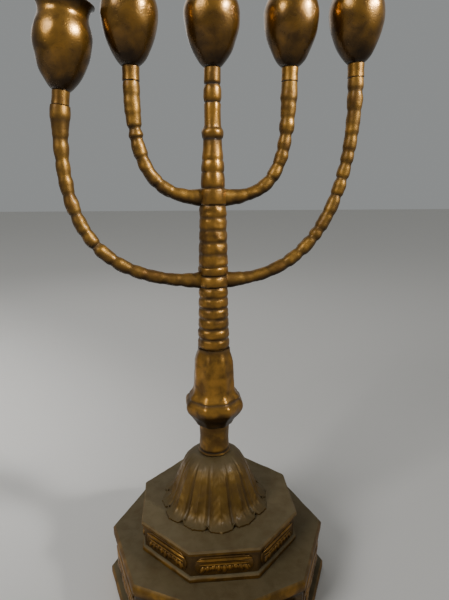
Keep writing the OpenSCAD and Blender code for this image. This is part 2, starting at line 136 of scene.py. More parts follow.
class MenorahCups(bpy.types.PropertyGroup):
    """Sizes of the candle cups"""
    height: length_prop("Height", "Foot to lip", 49 * MM)
    belly_d: length_prop("Belly", "Diameter at the belly", 34.8 * MM)
    belly_z: length_prop("Belly height", "Height of the belly over the foot", 28.6 * MM)
    neck_d: length_prop("Neck", "Diameter at the neck", 29 * MM)
    neck_z: length_prop("Neck height", "Height of the neck over the foot", 41.8 * MM)
    lip_d: length_prop("Lip", "Diameter at the flared lip", 36 * MM)
    socket_d: length_prop("Socket", "Diameter of the candle socket", 23.5 * MM)


class MenorahColours(bpy.types.PropertyGroup):
    """Colours of the brass"""
    gilt: colour_prop("Gilt", "Rubbed brass on the high places", "AA7930")
    olive: colour_prop("Olive", "Thin olive patina over the brass", "7C5E28")
    umber: colour_prop("Umber", "Brown patina", "573714")
    # The soot colour is the near-black of dirt in recesses and of the painted shade in recesses and on
    # undersides; it also blackens the cups' insides
    soot_and_shade: colour_prop("Soot", "Near-black dirt in the recesses", "170F07")
    # Pale dust on the base's upward faces, which also paints the light's pale reflection on them
    dusty_sheen: colour_prop("Dusty", "Pale worn lacquer on the base", "655A3F")
    steel: colour_prop("Steel", "Plain zinc-plated steel", "8E9092")


# ---- Shared modelling helpers ----------------------------------------------------------------

def recess_layer(bm):
    """Vertex value from 0 on a high place to 1 in a recess, read by the finishes, which darken
    recesses with dirt and painted shade.
    """
    return bm.verts.layers.float.get("recess") or bm.verts.layers.float.new("recess")


def cubic(a, b, c, d, t):
    return a * (1 - t) ** 3 + b * 3 * t * (1 - t) ** 2 + c * 3 * t * t * (1 - t) + d * t ** 3


def curve_points(a, b, c, d, count):
    """count points of a cubic curve after its first one."""
    a, b, c, d = (Vector(p) for p in (a, b, c, d))
    return [tuple(cubic(a, b, c, d, i / count)) for i in range(1, count + 1)]


def lathe(bm, profile, steps):
    """Turns a profile of (radius, height, recess) about Z and closes its poles."""
    layer = recess_layer(bm)
    verts = []
    for r, z, recess in profile:
        vert = bm.verts.new((r, 0, z))
        vert[layer] = recess
        verts.append(vert)
    edges = [bm.edges.new(pair) for pair in zip(verts, verts[1:])]
    bmesh.ops.spin(bm, geom=verts + edges, cent=(0, 0, 0), axis=(0, 0, 1), angle=2 * math.pi,
                   steps=steps, use_merge=True)


def ring_lathe(bm, profile, steps):
    """The same for a profile that closes on itself, such as a hollow box's wall."""
    lathe(bm, list(profile) + [profile[0]], steps)


def roughen(bm, amount, grain, seed):
    """Unevenness of a sand casting: amount high, with lumps about grain across."""
    bm.normal_update()
    for v in bm.verts:
        v.co += v.normal * amount * noise.noise(v.co / grain + Vector((seed, seed * 1.7, 0)))


def close_up(bm):
    bmesh.ops.remove_doubles(bm, verts=bm.verts, dist=0.00002)
    bmesh.ops.recalc_face_normals(bm, faces=bm.faces)


def finish_piece(bm, name, nodes, slot_name, *materials):
    """Makes the bmesh an object at the origin that rides on the body and replaces CAD nodes."""
    mesh = bpy.data.meshes.new(name)
    bm.to_mesh(mesh)
    bm.free()
    mesh.shade_smooth()
    mesh.set_sharp_from_angle(angle=SMOOTH_ANGLE)
    for material in materials:
        mesh.materials.append(material)
    piece = bpy.data.objects.new(name, mesh)
    bpy.context.scene.collection.objects.link(piece)
    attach(piece, BODY)
    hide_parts(*nodes)


# ---- Finishes --------------------------------------------------------------------------------

def add(tree, kind, values, output=0):
    """Adds a node, sets or links its values by name or input number, returns an output."""
    node = tree.nodes.new(kind)
    for key, value in values.items():
        if isinstance(value, bpy.types.NodeSocket):
            tree.links.new(value, node.inputs[key])
        elif isinstance(key, str) and hasattr(node, key):
            setattr(node, key, value)
        else:
            node.inputs[key].default_value = value
    return node.outputs[output] if len(node.outputs) else None


def opaque(colour):
    return (*colour, 1.0)


def patinated_brass(name, worn, film, patina, dirt_and_shade, dust_and_sheen=None, wear=0.5, shine=0.4, lacquer=0.1):
    """Sand-cast brass with a gilt wash, brown patina and handling wear.

    The wash survives on high places, in soft patches of about 9 mm; recesses are darkened toward
    near-black, part dirt and part painted shade; undersides get painted shade, and tops of the base
    carry pale dust, which also paints the light's pale reflection there, when given one.
    left of an old clear lacquer puts a whitish sheen over the metal.
    """
    material = bpy.data.materials.new(name)
    material.use_nodes = True
    tree = material.node_tree
    tree.nodes.clear()
    place = add(tree, "ShaderNodeTexCoord", {}, "Object")
    # Patches of patina about 9 mm across, tone over about 30 mm, and grain of about 0.8 mm
    patches = add(tree, "ShaderNodeTexNoise", {"Vector": place, "Scale": 1 / (9 * MM),
                                               "Detail": 4.0, "Roughness": 0.55,
                                               "Distortion": 0.3}, "Fac")
    tone = add(tree, "ShaderNodeTexNoise", {"Vector": place, "Scale": 1 / (30 * MM),
                                            "Detail": 2.0}, "Fac")
    grain = add(tree, "ShaderNodeTexNoise", {"Vector": place, "Scale": 1 / (0.8 * MM),
                                             "Detail": 3.0, "Roughness": 0.6}, "Fac")
    # Shallow casting pits about 2 mm apart
    cells = add(tree, "ShaderNodeTexVoronoi", {"Vector": place, "Scale": 1 / (2 * MM)}, "Distance")
    pit = add(tree, "ShaderNodeMapRange", {0: cells, 1: 0.05, 2: 0.3})
    normal = add(tree, "ShaderNodeNewGeometry", {}, "Normal")
    up = add(tree, "ShaderNodeSeparateXYZ", {0: normal}, "Z")
    recess = add(tree, "ShaderNodeAttribute",
                 {"attribute_name": "recess", "attribute_type": 'GEOMETRY'}, "Fac")

    # Gilt wash thinning into brown patina, then rubbed to bare metal on the high places
    washed = add(tree, "ShaderNodeMapRange", {0: patches, 1: 0.3, 2: 0.66, 3: 0.3, 4: 1.0})
    base = add(tree, "ShaderNodeMix", {"data_type": 'RGBA', 0: washed, 6: opaque(patina),
                                       7: opaque(film)}, 2)
    high = add(tree, "ShaderNodeMath", {"operation": 'SUBTRACT', 0: 1.0, 1: recess})
    worn_patch = add(tree, "ShaderNodeMapRange", {0: patches, 1: 0.6 - 0.35 * wear,
                                                  2: 0.9 - 0.35 * wear, 4: 0.85})
    rub = add(tree, "ShaderNodeMath", {"operation": 'MULTIPLY', 0: high, 1: worn_patch})
    base = add(tree, "ShaderNodeMix", {"data_type": 'RGBA', 0: rub, 6: base, 7: opaque(worn)}, 2)
    cloud = add(tree, "ShaderNodeMapRange", {0: tone, 1: 0.35, 2: 0.65, 3: 0.3, 4: 0.0})
    base = add(tree, "ShaderNodeMix", {"data_type": 'RGBA', 0: cloud, 6: base,
                                       7: opaque(tuple(c * 0.5 for c in patina))}, 2)
    # Painted shade: faces that look downward are darkened toward near black, a painted dark reflection
    # of what lies below them
    under = add(tree, "ShaderNodeMapRange", {0: up, 1: 0.05, 2: -0.6, 3: 0.0, 4: 0.88})
    base = add(tree, "ShaderNodeMix", {"data_type": 'RGBA', 0: under, 6: base,
                                       7: opaque(dirt_and_shade)}, 2)
    # Recesses are darkened toward near black: part dirt, part painted shade in place of occlusion
    broken = add(tree, "ShaderNodeMapRange", {0: grain, 1: 0.2, 2: 0.5, 3: 0.7, 4: 1.0})
    recess_grime_and_shade = add(tree, "ShaderNodeMath", {"operation": 'MULTIPLY', 0: recess, 1: broken})
    base = add(tree, "ShaderNodeMix", {"data_type": 'RGBA', 0: recess_grime_and_shade, 6: base, 7: opaque(dirt_and_shade)}, 2)
    spots = add(tree, "ShaderNodeMapRange", {0: pit, 3: 0.15, 4: 0.0})
    base = add(tree, "ShaderNodeMix", {"data_type": 'RGBA', 0: spots, 6: base, 7: opaque(dirt_and_shade)}, 2)
    dull = add(tree, "ShaderNodeMapRange", {0: washed, 3: shine + 0.14, 4: shine})
    metal = add(tree, "ShaderNodeMapRange", {0: recess, 1: 0.2, 2: 0.9, 3: 0.85, 4: 0.25})
    if dust_and_sheen:
        # Pale dust on faces that look upward hides the metal under it; its pale colour also paints the
        # light's reflection on those tops
        level = add(tree, "ShaderNodeMapRange", {0: up, 1: 0.35, 2: 0.85})
        thick = add(tree, "ShaderNodeMapRange", {0: patches, 1: 0.3, 2: 0.6, 3: 0.65, 4: 0.9})
        dusting_and_sheen = add(tree, "ShaderNodeMath", {"operation": 'MULTIPLY', 0: level, 1: thick})
        base = add(tree, "ShaderNodeMix", {"data_type": 'RGBA', 0: dusting_and_sheen, 6: base,
                                           7: opaque(dust_and_sheen)}, 2)
        bare = add(tree, "ShaderNodeMapRange", {0: dusting_and_sheen, 3: 1.0, 4: 0.3})
        metal = add(tree, "ShaderNodeMath", {"operation": 'MULTIPLY', 0: metal, 1: bare})
        dust_dull = add(tree, "ShaderNodeMapRange", {0: dusting_and_sheen, 4: 0.25})
        dull = add(tree, "ShaderNodeMath", {"operation": 'ADD', 0: dull, 1: dust_dull})
    bump = add(tree, "ShaderNodeBump", {"Strength": 0.3, "Distance": 0.2 * MM, "Height": grain})
    bump = add(tree, "ShaderNodeBump", {"Strength": 0.25, "Distance": 0.2 * MM, "Height": pit,
                                        "Normal": bump})
    shader = add(tree, "ShaderNodeBsdfPrincipled", {"Base Color": base, "Metallic": metal,
                                                    "Roughness": dull, "Normal": bump,
                                                    "Coat Weight": lacquer,
                                                    "Coat Roughness": 0.22})
    add(tree, "ShaderNodeOutputMaterial", {"Surface": shader})
    return material


def zinc_steel(name, colour):
    """Zinc-plated steel: grey metal with faint turning lines and a dull, cloudy bloom."""
    material = bpy.data.materials.new(name)
    material.use_nodes = True
    tree = material.node_tree
    tree.nodes.clear()
    place = add(tree, "ShaderNodeTexCoord", {}, "Object")
    bloom = add(tree, "ShaderNodeTexNoise", {"Vector": place, "Scale": 1 / (6 * MM),
                                             "Detail": 3.0}, "Fac")
    # Turning lines 0.5 mm apart
    lines = add(tree, "ShaderNodeTexWave", {"wave_type": 'RINGS', "rings_direction": 'Z',
                                            "Vector": place, "Scale": 1 / (0.5 * MM) / 20,
                                            "Distortion": 1.0}, "Fac")
    cloud = add(tree, "ShaderNodeMapRange", {0: bloom, 1: 0.35, 2: 0.65})
    base = add(tree, "ShaderNodeMix", {"data_type": 'RGBA', 0: cloud, 6: opaque(colour),
                                       7: opaque(tuple(c * 0.6 for c in colour))}, 2)
    dull = add(tree, "ShaderNodeMapRange", {0: bloom, 1: 0.3, 2: 0.7, 3: 0.3, 4: 0.5})
    bump = add(tree, "ShaderNodeBump", {"Strength": 0.2, "Distance": 0.05 * MM, "Height": lines})
    shader = add(tree, "ShaderNodeBsdfPrincipled", {"Metallic": 1.0, "Base Color": base,
                                                    "Roughness": dull, "Normal": bump})
    add(tree, "ShaderNodeOutputMaterial", {"Surface": shader})
    return material


def finish(kind):
    """The named finish, made once."""
    if kind in bpy.data.materials:
        return bpy.data.materials[kind]
    c = bpy.context.scene.menorah_colours
    gilt, olive, umber, soot_and_shade, dusty_sheen = (tuple(v) for v in (c.gilt, c.olive, c.umber, c.soot_and_shade, c.dusty_sheen))
    # Patina of the leaves, and pale dust on their upward faces that also paints the light's reflection
    # there
    leaf_patina, leaf_dust = hex_to_linear("5C4420"), hex_to_linear("524424")
    makers = {
        # Cast brass with a gilt wash, rubbed bright by handling: column, knop, ferrules, relief
        "gilt_cast_brass": lambda n: patinated_brass(n, gilt, olive, umber, soot_and_shade, wear=0.65,
                                                     shine=0.34),
        # The same brass turned smooth and lacquered, so it glints: outsides of the cups
        "smooth_cup_brass": lambda n: patinated_brass(n, gilt, olive, umber, soot_and_shade, wear=0.6,
                                                      shine=0.22, lacquer=0.2),
        # Cast brass that is seldom touched and has gone brown: branches and neck
        "brown_cast_brass": lambda n: patinated_brass(n, gilt, olive, umber, soot_and_shade, wear=0.35,
                                                      shine=0.45),
        # Brown cast brass under dulled lacquer and dust, whose pale colour also paints the light's
        # reflection on the tops: plinths
        "dusty_cast_brass": lambda n: patinated_brass(n, gilt, olive, umber, soot_and_shade, dust_and_sheen=dusty_sheen,
                                                      wear=0.3, shine=0.5, lacquer=0.05),
        # Olive-brown cast brass, rubbed on its crests, with dust toward the top that also paints the
        # light's pale reflection there: leaves of the dome
        "rubbed_leaf_brass": lambda n: patinated_brass(n, olive, olive, leaf_patina, soot_and_shade,
                                                       dust_and_sheen=leaf_dust, wear=0.6, shine=0.4),
        # Bare cast brass blackened by candle smoke: insides of the cups
        "sooty_brass": lambda n: patinated_brass(n, umber, soot_and_shade, soot_and_shade, soot_and_shade, wear=0.1, shine=0.6,
                                                 lacquer=0.0),
        # Bought steel hardware with a thin zinc plating: rod, plate, washer, nut and screws
        "zinc_plated_steel": lambda n: zinc_steel(n, tuple(c.steel)),
    }
    return makers[kind](kind)


# ---- Pieces ----------------------------------------------------------------------------------

class MENORAH_OT_plinths(bpy.types.Operator):
    """Moulded octagonal plinths, hollow underneath"""
    bl_idname = "menorah.plinths"
    bl_label = "Plinths"

    def execute(self, context):
        size = context.scene.menorah_base
        low, high = span("lower_plinth")
        # Flat-to-flat half-widths: foot band, recessed wall, slab
        foot, wall, slab = 80 * MM, 75 * MM, 77 * MM
        inside = wall - 3 * MM
        self.octagon("lower_plinth_cast", "lower_plinth", size.lower_turn, low, [
            (foot - 0.8 * MM, 0, 0.3), (foot, 0.8 * MM, 0), (foot, 5.4 * MM, 0),
            (foot - 1.2 * MM, 7 * MM, 0.1), (wall + 0.6 * MM, 7.2 * MM, 0.8), (wall, 8.2 * MM, 0.6),
            (wall, 33 * MM, 0.6), (wall + 0.6 * MM, 34.2 * MM, 0.9),
            (slab - 1.2 * MM, 34.8 * MM, 0.5), (slab, 36.4 * MM, 0.0), (slab, 42.4 * MM, 0.0),
            (slab - 1.5 * MM, high - low, 0.0),
            (slab - 24 * MM, high - low, 0.0), (7 * MM, high - low, 0.1),
            (7 * MM, high - low - 3 * MM, 0.6), (inside, high - low - 3 * MM, 0.7),
            (inside, 0, 0.5)])
        low, high = span("upper_plinth")
        foot, wall = 57.75 * MM, 55.75 * MM
        inside = wall - 3 * MM
        self.octagon("upper_plinth_cast", "upper_plinth", size.upper_turn, low, [
            (foot - 0.5 * MM, 0, 0.4), (foot, 0.6 * MM, 0), (foot, 3.0 * MM, 0),
            (foot - 0.8 * MM, 4 * MM, 0.1), (wall, 4.4 * MM, 0.6), (wall, 20 * MM, 0.5),
            (foot - 1 * MM, 20.6 * MM, 0.5), (foot, 21.6 * MM, 0), (foot, 23.4 * MM, 0),
            (foot - 1.1 * MM, high - low, 0.0), (44 * MM, high - low, 0.0),
            (7 * MM, high - low, 0.1), (7 * MM, high - low - 3 * MM, 0.6),
            (inside, high - low - 3 * MM, 0.7), (inside, 0, 0.5)])
        return {'FINISHED'}

    def octagon(self, name, node, turn, floor, flats_profile):
        size = bpy.context.scene.menorah_base
        bm = bmesh.new()
        ring_lathe(bm, [(r * FLAT_TO_CORNER, z, k) for r, z, k in flats_profile], 8)
        close_up(bm)
        upright = [e for e in bm.edges if e.is_manifold and e.calc_face_angle(0) > math.radians(28)
                   and abs((e.verts[0].co - e.verts[1].co).normalized().z) > 0.4]
        bmesh.ops.bevel(bm, geom=upright, offset=size.plinth_edge, segments=3, profile=0.5,
                        affect='EDGES', material=-1, clamp_overlap=True)
        # Cuts that give the casting's unevenness somewhere to show
        long_edges = [e for e in bm.edges if e.calc_length() > 12 * MM]
        bmesh.ops.subdivide_edges(bm, edges=long_edges, cuts=9, use_grid_fill=True)
        bmesh.ops.triangulate(bm, faces=[f for f in bm.faces if len(f.verts) > 4])
        roughen(bm, 0.35 * MM, 7 * MM, 3.0)
        base = min(v.co.z for v in bm.verts)
        bmesh.ops.translate(bm, verts=bm.verts, vec=(0, 0, floor - base))
        bmesh.ops.rotate(bm, verts=bm.verts, cent=(0, 0, 0),
                         matrix=Matrix.Rotation(turn + EIGHTH / 2, 3, 'Z'))
        bmesh.ops.translate(bm, verts=bm.verts, vec=(size.plinth_shift, 0, 0))
        finish_piece(bm, name, [node], "pale_brass", finish("dusty_cast_brass"))


class MENORAH_OT_relief_panels(bpy.types.Operator):
    """Relief on the plinths' walls: two worn ridges over a row of leaves"""
    bl_idname = "menorah.relief_panels"
    bl_label = "Relief panels"

    def execute(self, context):
        size = context.scene.menorah_base
        for name, node, wall, turn in (
                ("lower_relief_cast", "lower_relief_panels", 75 * MM, size.lower_turn),
                ("upper_relief_cast", "upper_relief_panels", 55.75 * MM, size.upper_turn)):
            low, high = span(node)
            panel_w = 2 * wall * math.tan(EIGHTH / 2) - 6 * MM
            bm = bmesh.new()
            for i in range(8):
                panel = bmesh.new()
                self.relief(panel, panel_w, high - low, i)
                stand = (Matrix.Translation((size.plinth_shift, 0, (low + high) / 2))
                         @ Matrix.Rotation(turn + i * EIGHTH, 4, 'Z')
                         @ Matrix.Translation((0, -wall, 0)) @ Matrix.Rotation(math.pi / 2, 4, 'X'))
                bmesh.ops.transform(panel, matrix=stand, verts=panel.verts)
                scratch = bpy.data.meshes.new("scratch")
                panel.to_mesh(scratch)
                panel.free()
                bm.from_mesh(scratch)
                bpy.data.meshes.remove(scratch)
            finish_piece(bm, name, [node], "gilt_brass", finish("gilt_cast_brass"))
        return {'FINISHED'}

    def swell(self, bm, x, y, length, breadth, rise, angle):
        """A smooth leaf-like swelling that lies on the panel, pointing along angle."""
        layer = recess_layer(bm)
        ball = bmesh.ops.create_icosphere(bm, subdivisions=2, radius=1.0)["verts"]
        for v in ball:
            taper = 1 - 0.45 * max(v.co.x, 0) ** 1.5
            v.co.y *= taper
            v[layer] = 0.8 * (1 - max(v.co.z, 0)) ** 2
        place = (Matrix.Translation((x, y, 0.9 * MM)) @ Matrix.Rotation(angle, 4, 'Z')
                 @ Matrix.Diagonal((length / 2, breadth / 2, rise, 1)))
        bmesh.ops.transform(bm, matrix=place, verts=ball)

    def bar(self, bm, w, y, r, rise, seed):
        """A rounded ridge along the panel, uneven as if worn."""
        layer = recess_layer(bm)
        start = bmesh.ops.create_circle(bm, cap_ends=True, segments=12, radius=1.0)["verts"]
        steps = 26
        turn = Matrix.Rotation(math.pi / 2, 4, 'Y')
        edges = list({e for v in start for e in v.link_edges if len(e.link_faces) == 1})
        ring, last = start, Matrix.Identity(4)
        for k in range(steps + 1):
            t = k / steps
            ends = min(1.0, 5 * t + 0.35, 5 * (1 - t) + 0.35)
            wear = 1 + 0.25 * noise.noise(Vector((t * 6, seed * 1.7, y / MM)))
            place = (Matrix.Translation(((t - 0.5) * w, y, 0.8 * MM))
                     @ Matrix.Diagonal((1, r * ends * wear, rise * ends * wear, 1)) @ turn)
            if k:
                made = bmesh.ops.extrude_edge_only(bm, edges=edges)["geom"]
                ring = [g for g in made if isinstance(g, bmesh.types.BMVert)]
                edges = [g for g in made if isinstance(g, bmesh.types.BMEdge)]
            bmesh.ops.transform(bm, matrix=place @ last.inverted(), verts=ring)
            for v in ring:
                v[layer] = 0.7 * max(0.0, 1 - (v.co.z - 0.4 * MM) / rise) ** 2
            last = place
        bmesh.ops.holes_fill(bm, edges=edges, sides=0)

    def relief(self, bm, w, h, seed):
        layer = recess_layer(bm)
        # Ground of the panel: a thin plate with half-round ends
        ends = 10
        outline = []
        for side in (1, -1):
            for k in range(ends + 1):
                a = side * -math.pi / 2 + math.pi * k / ends
                outline.append(bm.verts.new(
                    (side * (w - h) / 2 + h / 2 * math.cos(a), h / 2 * math.sin(a), -0.2 * MM)))
        ground = bm.faces.new(outline)
        raised = bmesh.ops.extrude_face_region(bm, geom=[ground])
        bmesh.ops.translate(bm, verts=[v for v in raised["geom"]
                                       if isinstance(v, bmesh.types.BMVert)], vec=(0, 0, 1.0 * MM))
        edge = [e for e in bm.edges if e.is_manifold and min(v.co.z for v in e.verts) > 0.5 * MM]
        bmesh.ops.bevel(bm, geom=edge, offset=0.5 * MM, segments=3, profile=0.5, affect='EDGES',
                        material=-1, clamp_overlap=True)
        for v in bm.verts:
            v[layer] = 0.4
        # Two worn ridges with a row of leaves under them, their tips hanging below
        self.bar(bm, w * 0.93, h * 0.33, h * 0.095, 1.25 * MM, seed)
        self.bar(bm, w * 0.84, h * 0.09, h * 0.06, 0.9 * MM, seed + 0.5)
        count = 9
        for k in range(count):
            side = k - (count - 1) / 2
            uneven = noise.noise(Vector((k * 1.3, seed * 2.1, 0)))
            x = side * w * 0.094
            drop = h * (0.40 + 0.08 * math.cos(side * 1.6) + 0.07 * uneven)
            self.swell(bm, x, h * 0.06 - drop / 2, drop, w * 0.085, (1.15 + 0.2 * uneven) * MM,
                       -math.pi / 2 + 0.10 * side)
            self.swell(bm, x + w * 0.047, -h * 0.12, h * 0.26, w * 0.034, 0.9 * MM,
                       -math.pi / 2 + 0.14 * side)


class MENORAH_OT_leaf_dome(bpy.types.Operator):
    """Dome of overlapping leaves with midribs, teardrop bosses and flared, scalloped tips"""
    bl_idname = "menorah.leaf_dome"
    bl_label = "Leaf dome"

    def execute(self, context):
        size = context.scene.menorah_base
        low, high = span("leaf_dome")
        rise = high - low
        rim_r = width("leaf_dome") / 2 - size.leaf_depth
        skirt = [(rim_r, 0.0012)] + curve_points(
            (rim_r, 0.0012), (0.025, 0.008), (0.030, rise - 0.005), (0.012, rise), 44)
        wall = 4 * MM
        inner = [(max(r - wall, 4 * MM), max(z - wall, 0)) for r, z in reversed(skirt[::4])]
        inner[-1] = (rim_r - wall, 0)
        profile = ([(rim_r, 0, 0.6)]
                   # Painted shadow: above about 0.72 of the dome's rise the recess grows, so the
                   # finish darkens the top as if shaded by the neck
                   + [(r, z, max(0.0, 2.4 * (z / rise - 0.72))) for r, z in skirt]
                   + [(ROD_BORE_R, rise, 0.5), (ROD_BORE_R, rise - wall, 0.5)]
                   + [(r, z, 0.7) for r, z in inner])
        bm = bmesh.new()
        ring_lathe(bm, profile, size.leaf_count * 22)
        close_up(bm)
        self.carve(bm, size, rim_r, rise)
        roughen(bm, 0.25 * MM, 4 * MM, 7.0)
        bmesh.ops.translate(bm, verts=bm.verts, vec=(0, 0, low))
        finish_piece(bm, "leaf_dome_cast", ["leaf_dome"], "dark_brass", finish("rubbed_leaf_brass"))
        return {'FINISHED'}

    def carve(self, bm, size, rim_r, rise):
        layer = recess_layer(bm)
        bm.normal_update()
        outer = [v for v in bm.verts if v.normal.to_2d().dot(v.co.to_2d()) > 0
                 and v.co.to_2d().length > 11 * MM and v.co.z < rise - 1 * MM]
        moves = []
        for v in outer:
            turn = ((math.atan2(v.co.y, v.co.x) - size.leaf_turn) * size.leaf_count
                    / (2 * math.pi) + 0.5)
            across = 2 * abs(turn - math.floor(turn) - 0.5)     # 0 on a midrib, 1 in a valley
            raised = 1.0 if int(math.floor(turn)) % 2 else 0.55
            up = v.co.z / rise
            fade = (1 - up) ** 0.7
            crest = raised * (1 - across ** 2.4)
            midrib = 0.28 * math.exp(-(across / 0.09) ** 2)
            lip = 0.3 * math.exp(-((across - 0.72) / 0.09) ** 2)
            boss = 0.5 * math.exp(-(across / 0.3) ** 2 - ((up - 0.34) / 0.13) ** 2)
            veins = 0.08 * math.cos(26 * (up * 2 + across * 0.5)) * (1 - across)
            tip = 0.5 * math.exp(-(up / 0.07) ** 2) * (1 - across ** 2)
            swell = size.leaf_depth * fade * (crest + midrib + lip + boss + veins + tip - 0.25)
            valley = max(0.0, (across - 0.8) / 0.2)
            # Valleys between the leaves and the flanks away from each crest are marked as recess,
            # which the finish darkens: dirt and painted shade
            v[layer] = min(1.0, max(v[layer], 0.45 * valley * (1 - 0.4 * up)
                                    + 0.2 * (1 - crest) * fade))
            moves.append((v, swell, valley))
        for v, swell, valley in moves:
            out = v.co.to_2d().normalized()
            v.co.x += out.x * swell
            v.co.y += out.y * swell
            if v.co.z < 2 * MM:
                v.co.z += 2.2 * MM * valley


class MENORAH_OT_neck(bpy.types.Operator):
    """Neck sleeve with a rolled ring at its foot"""
    bl_idname = "menorah.neck"
    bl_label = "Neck sleeve"

    def execute(self, context):
        low, high = span("neck_sleeve")
        h = high - low
        r = 11.3 * MM
        profile = [(ROD_BORE_R, 0, 0.5), (r - 0.3 * MM, 0, 1.0), (r + 0.5 * MM, 0.4 * MM, 0.9),
                   (r + 0.8 * MM, 1.1 * MM, 0.2), (r + 0.5 * MM, 1.9 * MM, 0.3),
                   (r - 0.5 * MM, 2.4 * MM, 1.0), (r - 0.2 * MM, 3.2 * MM, 0.4)]
        profile += [(r - 0.5 * MM * math.sin(math.pi * t / 14),
                     3.2 * MM + (h - 5 * MM) * t / 14, 0.05)
                    for t in range(1, 15)]
        profile += [(r, h - 1 * MM, 0.3), (r - 0.6 * MM, h, 1.0), (ROD_BORE_R, h, 0.5)]
        bm = bmesh.new()
        ring_lathe(bm, profile, 64)
        close_up(bm)
        roughen(bm, 0.3 * MM, 5 * MM, 11.0)
        bmesh.ops.translate(bm, verts=bm.verts, vec=(0, 0, low))
        finish_piece(bm, "neck_sleeve_cast", ["neck_sleeve"], "gilt_brass",
                     finish("brown_cast_brass"))
        return {'FINISHED'}


class MENORAH_OT_knop(bpy.types.Operator):
    """Eight-sided bell knop with a groove over a rolled band"""
    bl_idname = "menorah.knop"
    bl_label = "Bell knop"

    # Distance from the axis to a flat and height, in millimetres, with recess; 3.2 is the bore
    PROFILE = [(3.2, 0, 0.5), (13.0, 0, 0.8), (13.5, 1.0, 0.6), (14.3, 2.6, 0.4), (15.2, 4.2, 0.3),
               (16.4, 5.8, 0.2), (17.6, 7.4, 0.1), (18.7, 8.9, 0), (19.6, 10.4, 0), (20.3, 12.0, 0),
               (20.7, 14.0, 0), (20.7, 15.4, 0), (20.5, 16.8, 0), (20.0, 18.2, 0.1),
               (19.0, 19.3, 0.3), (18.2, 20.1, 0.6), (17.9, 20.7, 0.6), (17.9, 21.4, 0.2),
               (17.0, 22.6, 0), (15.9, 24.0, 0), (15.1, 25.4, 0), (14.7, 27.4, 0), (14.5, 29.6, 0),
               (14.4, 32.5, 0), (14.2, 36, 0), (14.0, 41, 0), (13.8, 45, 0), (13.5, 48.5, 0),
               (12.9, 51.2, 0), (12.2, 53.6, 0.1), (11.5, 55.6, 0.2), (11.3, 57.5, 0.4),
               (11.3, 58.5, 0.7), (3.2, 58.5, 0.5)]

    def execute(self, context):
        low, high = span("bell_knop")
        stretch = (high - low) / (self.PROFILE[-1][1] * MM)
        bm = bmesh.new()
        ring_lathe(bm, [(r * FLAT_TO_CORNER * MM, z * MM * stretch, k)
                        for r, z, k in self.PROFILE], 8)
        close_up(bm)
        arrises = [e for e in bm.edges if e.is_manifold
                   and min(v.co.to_2d().length for v in e.verts) > 10 * MM
                   and abs((e.verts[0].co - e.verts[1].co).normalized().z) > 0.2
                   and e.calc_face_angle(0) > math.radians(25)]
        bmesh.ops.bevel(bm, geom=arrises, offset=1.6 * MM, segments=3, profile=0.5,
                        affect='EDGES', material=-1, clamp_overlap=True)
        across = [e for e in bm.edges if e.calc_length() > 5 * MM]
        bmesh.ops.subdivide_edges(bm, edges=across, cuts=5, use_grid_fill=True)
        roughen(bm, 0.4 * MM, 5 * MM, 2.0)
        bmesh.ops.rotate(bm, verts=bm.verts, cent=(0, 0, 0),
                         matrix=Matrix.Rotation(EIGHTH / 2, 3, 'Z'))
        bmesh.ops.translate(bm, verts=bm.verts, vec=(0, 0, low))
        finish_piece(bm, "bell_knop_cast", ["bell_knop"], "dark_brass", finish("gilt_cast_brass"))
        return {'FINISHED'}


